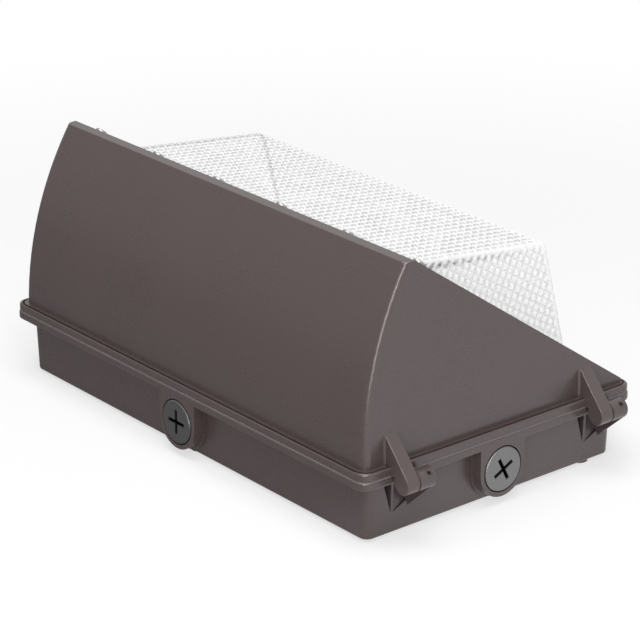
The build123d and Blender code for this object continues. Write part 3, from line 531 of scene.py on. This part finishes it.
        def spread(at):
            x, y = at.x, at.y
            middle = -(glass_upper_edge + glass_lower_edge) / 2
            half = (glass_lower_edge - glass_upper_edge) / 2
            if abs(abs(x) - glass_half_length) < glass_edge_reach:
                x += glass_flange_width * (1 if x > 0 else -1)
            if abs(abs(y - middle) - half) < glass_edge_reach:
                y = middle + (half + glass_flange_width) * (1 if y > middle else -1)
            return Vector((x, y, at.z))

        rim = self.loop_down(rim, spread)
        self.loop_down(rim, lambda at: Vector((at.x, at.y, glass_back)))

    def inner_faces(self, outer_rim):
        """Smooth inner walls, joined to the flange by its flat back."""
        front_angle = atan2(glass_apex_out - glass_shoulder, glass_apex_down - glass_upper_edge)
        low_angle = atan2(glass_apex_out - glass_shoulder, glass_lower_edge - glass_apex_down)
        upper = glass_upper_edge + glass_wall
        lower = glass_lower_edge - glass_wall
        upper_out = glass_shoulder + glass_wall * tan(front_angle) - glass_wall / cos(front_angle)
        lower_out = glass_shoulder + glass_wall * tan(low_angle) - glass_wall / cos(low_angle)
        apex_down = (
            lower_out - upper_out + lower * tan(low_angle) + upper * tan(front_angle)
        ) / (tan(front_angle) + tan(low_angle))
        apex_out = upper_out + (apex_down - upper) * tan(front_angle)
        side = [
            (upper, glass_back),
            (upper, upper_out),
            (apex_down, apex_out),
            (lower, lower_out),
            (lower, glass_back),
        ]
        reach = glass_half_length - glass_wall
        left = [self.point(-reach, down, out) for down, out in side]
        right = [self.point(reach, down, out) for down, out in side]
        for index in range(len(side) - 1):
            self.mesh.faces.new((left[index], right[index], right[index + 1], left[index + 1]))
        self.mesh.faces.new(left)
        self.mesh.faces.new(right)
        mouth = [
            self.mesh.edges.get((left[0], right[0])),
            self.mesh.edges.get((left[-1], right[-1])),
            self.mesh.edges.get((left[0], left[-1])),
            self.mesh.edges.get((right[0], right[-1])),
        ]
        bmesh.ops.triangle_fill(
            self.mesh, use_beauty=True, use_dissolve=False, edges=[*outer_rim, *mouth], normal=(0, 0, -1)
        )

    def build(self, name):
        rows = self.outer_faces()
        bmesh.ops.remove_doubles(self.mesh, verts=self.mesh.verts, dist=glass_merge)
        ends = []
        for row in (rows[0], rows[-1]):
            border = []
            for vert in row:
                if vert.is_valid and vert not in border:
                    border.append(vert)
            ends.append(border)
        for border in ends:
            self.end_face(border)
        self.neck_and_flange()
        bmesh.ops.remove_doubles(self.mesh, verts=self.mesh.verts, dist=glass_merge)
        rim = [edge for edge in self.mesh.edges if len(edge.link_faces) == 1]
        self.inner_faces(rim)
        bmesh.ops.recalc_face_normals(self.mesh, faces=self.mesh.faces)
        data = bpy.data.meshes.new(name)
        self.mesh.to_mesh(data)
        self.mesh.free()
        return data


def prism_tree():
    """Geometry nodes that raise the pillow-shaped prisms out of the glass faces."""
    group = bpy.data.node_groups.new("prism_relief", "GeometryNodeTree")
    group.interface.new_socket("Geometry", in_out="INPUT", socket_type="NodeSocketGeometry")
    for label, value in (("Pitch", prism_pitch), ("Relief", prism_relief)):
        socket = group.interface.new_socket(label, in_out="INPUT", socket_type="NodeSocketFloat")
        socket.default_value = value
    finish = group.interface.new_socket("Finish", in_out="INPUT", socket_type="NodeSocketMaterial")
    group.interface.new_socket("Geometry", in_out="OUTPUT", socket_type="NodeSocketGeometry")
    tree = Tree(group)
    body = tree.add("NodeGroupInput")
    source = body.socket.node.outputs
    pitch, relief = Value(tree, source["Pitch"]), Value(tree, source["Relief"])

    def stored(name):
        return tree.add("GeometryNodeInputNamedAttribute", {"data_type": "FLOAT"}, {"Name": name})

    def crest(distance):
        return (distance * pi / pitch).math("SINE").math("ABSOLUTE")

    lift = (crest(stored("across")) * crest(stored("along"))) ** 0.8 * stored("prism") * relief
    normal = tree.add("GeometryNodeInputNormal")
    offset = tree.add("ShaderNodeVectorMath", {"operation": "SCALE"}, {0: normal, "Scale": lift})
    raised = tree.add("GeometryNodeSetPosition", None, {"Geometry": body, "Offset": offset})
    real = tree.add("GeometryNodeRealizeInstances", None, {"Geometry": raised})
    coat = Value(tree, source["Finish"])
    dressed = tree.add("GeometryNodeSetMaterial", None, {"Geometry": real, "Material": coat})
    tree.add("NodeGroupOutput", None, {"Geometry": dressed})
    return group, finish.identifier


def settle(piece):
    """Turns a piece with a node modifier into a plain mesh."""
    graph = bpy.context.evaluated_depsgraph_get()
    evaluated = piece.evaluated_get(graph)
    plain = bpy.data.meshes.new_from_object(evaluated, preserve_all_data_layers=True, depsgraph=graph)
    piece.modifiers.clear()
    piece.data = plain


def make_glass():
    refractor = bpy.data.objects.new("prismatic_refractor", GlassMesh().build("prismatic_refractor"))
    bpy.context.scene.collection.objects.link(refractor)
    group, finish_socket = prism_tree()
    relief = refractor.modifiers.new("prisms", "NODES")
    relief.node_group = group
    relief[finish_socket] = pressed_glass()
    settle(refractor)
    refractor.data.transform(Matrix.Scale(MM, 4) @ slope_to_row)
    refractor.data.shade_smooth()
    refractor.data.set_sharp_from_angle(angle=sharp_angle)
    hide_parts("glass_refractor")
    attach(refractor, "cover")


make_glass()


# Seal lip, a painted highlight along the parting line

def lip_path():
    """Points of the rim's outline, moved inwards to the middle of the lip."""
    corner = rim_corner - lip_inset
    reach_x = rim_length / 2 - rim_corner
    reach_z = rim_height / 2 - rim_corner
    points = []
    for quarter, (side_x, side_z) in enumerate(((1, 1), (-1, 1), (-1, -1), (1, -1))):
        for angle in steps(quarter * pi / 2, (quarter + 1) * pi / 2, pi / 2 / lip_corner_steps):
            x = side_x * reach_x + corner * cos(angle)
            z = side_z * reach_z + corner * sin(angle)
            points.append(Vector((x, -parting_depth, z)) * MM)
    return points


def lip_tree():
    """Geometry nodes that draw a round lip along a closed path."""
    group = bpy.data.node_groups.new("seal_lip_highlight", "GeometryNodeTree")
    group.interface.new_socket("Geometry", in_out="INPUT", socket_type="NodeSocketGeometry")
    socket = group.interface.new_socket("Radius", in_out="INPUT", socket_type="NodeSocketFloat")
    socket.default_value = lip_radius * MM
    group.interface.new_socket("Geometry", in_out="OUTPUT", socket_type="NodeSocketGeometry")
    tree = Tree(group)
    loop = tree.add("NodeGroupInput")
    radius = Value(tree, loop.socket.node.outputs["Radius"])
    path = tree.add("GeometryNodeMeshToCurve", None, {"Mesh": loop})
    ring = tree.add("GeometryNodeCurvePrimitiveCircle", None, {"Resolution": 12, "Radius": radius})
    lip = tree.add("GeometryNodeCurveToMesh", None, {"Curve": path, "Profile Curve": ring})
    real = tree.add("GeometryNodeRealizeInstances", None, {"Geometry": lip})
    dressed = tree.add("GeometryNodeSetMaterial", None, {"Geometry": real, "Material": finishes["grey_seal"]})
    tree.add("NodeGroupOutput", None, {"Geometry": dressed})
    return group


def make_lip():
    """Lip of the rim gasket in light grey, a painted highlight that shows as a light line between the
    castings.
    """
    points = lip_path()
    data = bpy.data.meshes.new("seal_lip_highlight")
    data.from_pydata(points, [(index, (index + 1) % len(points)) for index in range(len(points))], [])
    lip = bpy.data.objects.new("seal_lip_highlight", data)
    bpy.context.scene.collection.objects.link(lip)
    drawn = lip.modifiers.new("lip", "NODES")
    drawn.node_group = lip_tree()
    settle(lip)
    lip.data.shade_smooth()
    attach(lip, "housing")


make_lip()


# LEDs

def chip_places():
    """Middle and outward direction of each LED solid."""
    chips = bmesh.new()
    chips.from_mesh(nodes["led_chips"].data)
    bmesh.ops.remove_doubles(chips, verts=chips.verts, dist=chip_merge * MM)
    left = dict.fromkeys(chips.verts)
    places = []
    while left:
        group = [left.popitem()[0]]
        for vert in group:
            for edge in vert.link_edges:
                other = edge.other_vert(vert)
                if other in left:
                    del left[other]
                    group.append(other)
        edges = (edge for vert in group for edge in vert.link_edges)
        shortest = min(edges, key=lambda edge: edge.calc_length())
        outward = (shortest.verts[1].co - shortest.verts[0].co).normalized()
        middle = sum((vert.co for vert in group), Vector()) / len(group)
        places.append((middle, outward if outward.y < 0 else -outward))
    chips.free()
    return places


def led_tree():
    """Geometry nodes that set a white package with a round phosphor face on each point."""
    group = bpy.data.node_groups.new("led_packages", "GeometryNodeTree")
    group.interface.new_socket("Geometry", in_out="INPUT", socket_type="NodeSocketGeometry")
    for label, value in (("Side", chip_side), ("Height", chip_height), ("Face", chip_face)):
        socket = group.interface.new_socket(label, in_out="INPUT", socket_type="NodeSocketFloat")
        socket.default_value = value * MM
    group.interface.new_socket("Geometry", in_out="OUTPUT", socket_type="NodeSocketGeometry")
    tree = Tree(group)
    points = tree.add("NodeGroupInput")
    source = points.socket.node.outputs
    side, height, face = (Value(tree, source[label]) for label in ("Side", "Height", "Face"))
    box = tree.add("ShaderNodeCombineXYZ", None, {0: side, 1: side, 2: height * chip_body_share})
    body = tree.add("GeometryNodeMeshCube", None, {"Size": box})
    body = tree.add("GeometryNodeSetMaterial", None, {"Geometry": body, "Material": finishes["lead_white"]})
    dome = tree.add("GeometryNodeMeshUVSphere", None, {"Segments": 24, "Rings": 12, "Radius": face / 2})
    flattening = height * (2 - 2 * chip_body_share) / face
    flat = tree.add("ShaderNodeCombineXYZ", None, {0: 1.0, 1: 1.0, 2: flattening})
    top = tree.add("ShaderNodeCombineXYZ", None, {2: height * chip_body_share / 2})
    dome = tree.add("GeometryNodeTransform", None, {"Geometry": dome, "Translation": top, "Scale": flat})
    dome = tree.add("GeometryNodeSetMaterial", None, {"Geometry": dome, "Material": finishes["phosphor"]})
    package = tree.add("GeometryNodeJoinGeometry", None, {0: body})
    group.links.new(dome.socket, package.socket.node.inputs[0])
    facing = tree.add("GeometryNodeInputNamedAttribute", {"data_type": "FLOAT_VECTOR"}, {"Name": "facing"})
    turned = tree.add("FunctionNodeAlignRotationToVector", {"axis": "Z"}, {"Vector": facing})
    placed = tree.add(
        "GeometryNodeInstanceOnPoints", None, {"Points": points, "Instance": package, "Rotation": turned}
    )
    real = tree.add("GeometryNodeRealizeInstances", None, {"Geometry": placed})
    tree.add("NodeGroupOutput", None, {"Geometry": real})
    return group


def make_leds():
    places = chip_places()
    data = bpy.data.meshes.new("led_packages")
    lowered = (1 - chip_body_share) / 2 * chip_height * MM
    data.from_pydata([middle - outward * lowered for middle, outward in places], [], [])
    facing = data.attributes.new("facing", "FLOAT_VECTOR", "POINT")
    for index, (_, outward) in enumerate(places):
        facing.data[index].vector = outward
    leds = bpy.data.objects.new("led_packages", data)
    bpy.context.scene.collection.objects.link(leds)
    packages = leds.modifiers.new("packages", "NODES")
    packages.node_group = led_tree()
    settle(leds)
    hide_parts("led_chips")
    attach(leds, "housing")


make_leds()


# Camera, light and backdrop

def make_camera():
    """Camera at the photograph's viewing angle."""
    right = Vector((-0.63531827, 0.0, -0.77225041))
    up = Vector((0.28718267, -0.92828175, -0.23626066))
    back = Vector((-0.71686596, -0.37187765, 0.58975436))
    lens = bpy.data.cameras.new("camera")
    lens.lens = 156.515
    lens.sensor_width = 36.0
    lens.clip_end = 50.0
    camera = bpy.data.objects.new("camera", lens)
    turn = Matrix((right, up, back)).transposed().to_4x4()
    camera.matrix_world = Matrix.Translation((-1.285895, -0.729215, 1.051914)) @ turn
    bpy.context.scene.collection.objects.link(camera)
    bpy.context.scene.camera = camera


def ray_kinds(tree):
    """Shares of rays that see the stage as plain white, of mirrored ones and of those through glass."""
    path = tree.add("ShaderNodeLightPath").socket.node.outputs
    white = Value(tree, path["Is Camera Ray"]).math("MAXIMUM", Value(tree, path["Is Transmission Ray"]))
    through = Value(tree, path["Transparent Depth"]).math("MINIMUM", 1.0)
    return white, Value(tree, path["Is Glossy Ray"]) * (1.0 - white), through


def make_backdrop():
    """White surface behind the light, seen from the front only.

    Its mirror image dims towards the upper right, and near the light it keeps a share of its own shadows."""
    paper = Finish("backdrop_white")
    white, mirrored, through = ray_kinds(paper)
    parts = paper.add("ShaderNodeSeparateXYZ", None, {0: paper.place})
    x, z = parts, Value(paper, parts.socket.node.outputs[2])
    lit_side = ((x + z) * -1.0).smooth(-0.04, 0.2)
    dim_mirror, lit_mirror = 0.22, 0.8
    strength = white + mirrored * (lit_side * (lit_mirror - dim_mirror) + dim_mirror)
    matt = paper.add("ShaderNodeBsdfDiffuse", None, {"Color": rgb(0.9, 0.9, 0.9)})
    glow = paper.add("ShaderNodeEmission", None, {"Color": rgb(1, 1, 1), "Strength": strength})
    shadow_share = 0.35
    near = 1.0 - (x * x + z * z).math("SQRT").smooth(0.3, 0.9)
    plain = white * (1.0 - near * (1.0 - through) * shadow_share) + mirrored
    lit = paper.add("ShaderNodeMixShader", None, {0: plain, 1: matt, 2: glow})
    clear = paper.add("ShaderNodeBsdfTransparent")
    behind = paper.add("ShaderNodeNewGeometry", output="Backfacing")
    one_sided = paper.add("ShaderNodeMixShader", None, {0: behind, 1: lit, 2: clear})
    paper.add("ShaderNodeOutputMaterial", None, {"Surface": one_sided})
    size = 12.0
    corners = [(-size, 0, -size), (size, 0, -size), (size, 0, size), (-size, 0, size)]
    data = bpy.data.meshes.new("backdrop")
    data.from_pydata(corners, [], [(0, 1, 2, 3)])
    data.materials.append(paper.material)
    backdrop = bpy.data.objects.new("backdrop", data)
    bpy.context.scene.collection.objects.link(backdrop)


def make_world():
    """Soft white surroundings; mirrored rays see them dim above and lighter below."""
    world = bpy.data.worlds.new("studio")
    bpy.context.scene.world = world
    world.use_nodes = True
    sky = Tree(world.node_tree)
    sky.tree.nodes.clear()
    white, mirrored, _ = ray_kinds(sky)
    direction = sky.add("ShaderNodeTexCoord", output="Generated")
    parts = sky.add("ShaderNodeSeparateXYZ", None, {0: direction})
    z = Value(sky, parts.socket.node.outputs[2])
    spread = 1.0 - white - mirrored
    mirror_level, mirror_fall, soft_level = 0.55, 0.27, 0.3
    strength = white + mirrored * (mirror_level - z * mirror_fall) + spread * soft_level
    soft = sky.add("ShaderNodeBackground", None, {"Color": rgb(1, 1, 1), "Strength": strength})
    sky.add("ShaderNodeOutputWorld", None, {"Surface": soft})


def make_lamp(name, place, aim, along, width, length, power):
    """Rectangular lamp whose length runs along a direction."""
    lamp = bpy.data.lights.new(name, "AREA")
    lamp.shape = "RECTANGLE"
    lamp.size = width
    lamp.size_y = length
    lamp.energy = power
    holder = bpy.data.objects.new(name, lamp)
    back = (Vector(place) - Vector(aim)).normalized()
    side = Vector(along).cross(back).normalized()
    turn = Matrix((side, back.cross(side), back)).transposed().to_4x4()
    holder.matrix_world = Matrix.Translation(place) @ turn
    bpy.context.scene.collection.objects.link(holder)


make_camera()
make_backdrop()
make_world()
lamp_aim = (0, -0.08, 0)
make_lamp(
    "strip_light",
    place=(-1.37, -1.01, 1.22),
    aim=lamp_aim,
    along=(0.24, -1.92, -1.31),
    width=0.28,
    length=2.4,
    power=21.0,
)
make_lamp(
    "front_light",
    place=(-0.2, -1.55, 0.25),
    aim=lamp_aim,
    along=(1, 0, 0),
    width=1.1,
    length=1.1,
    power=18.0,
)

bpy.context.scene.view_settings.view_transform = "Standard"
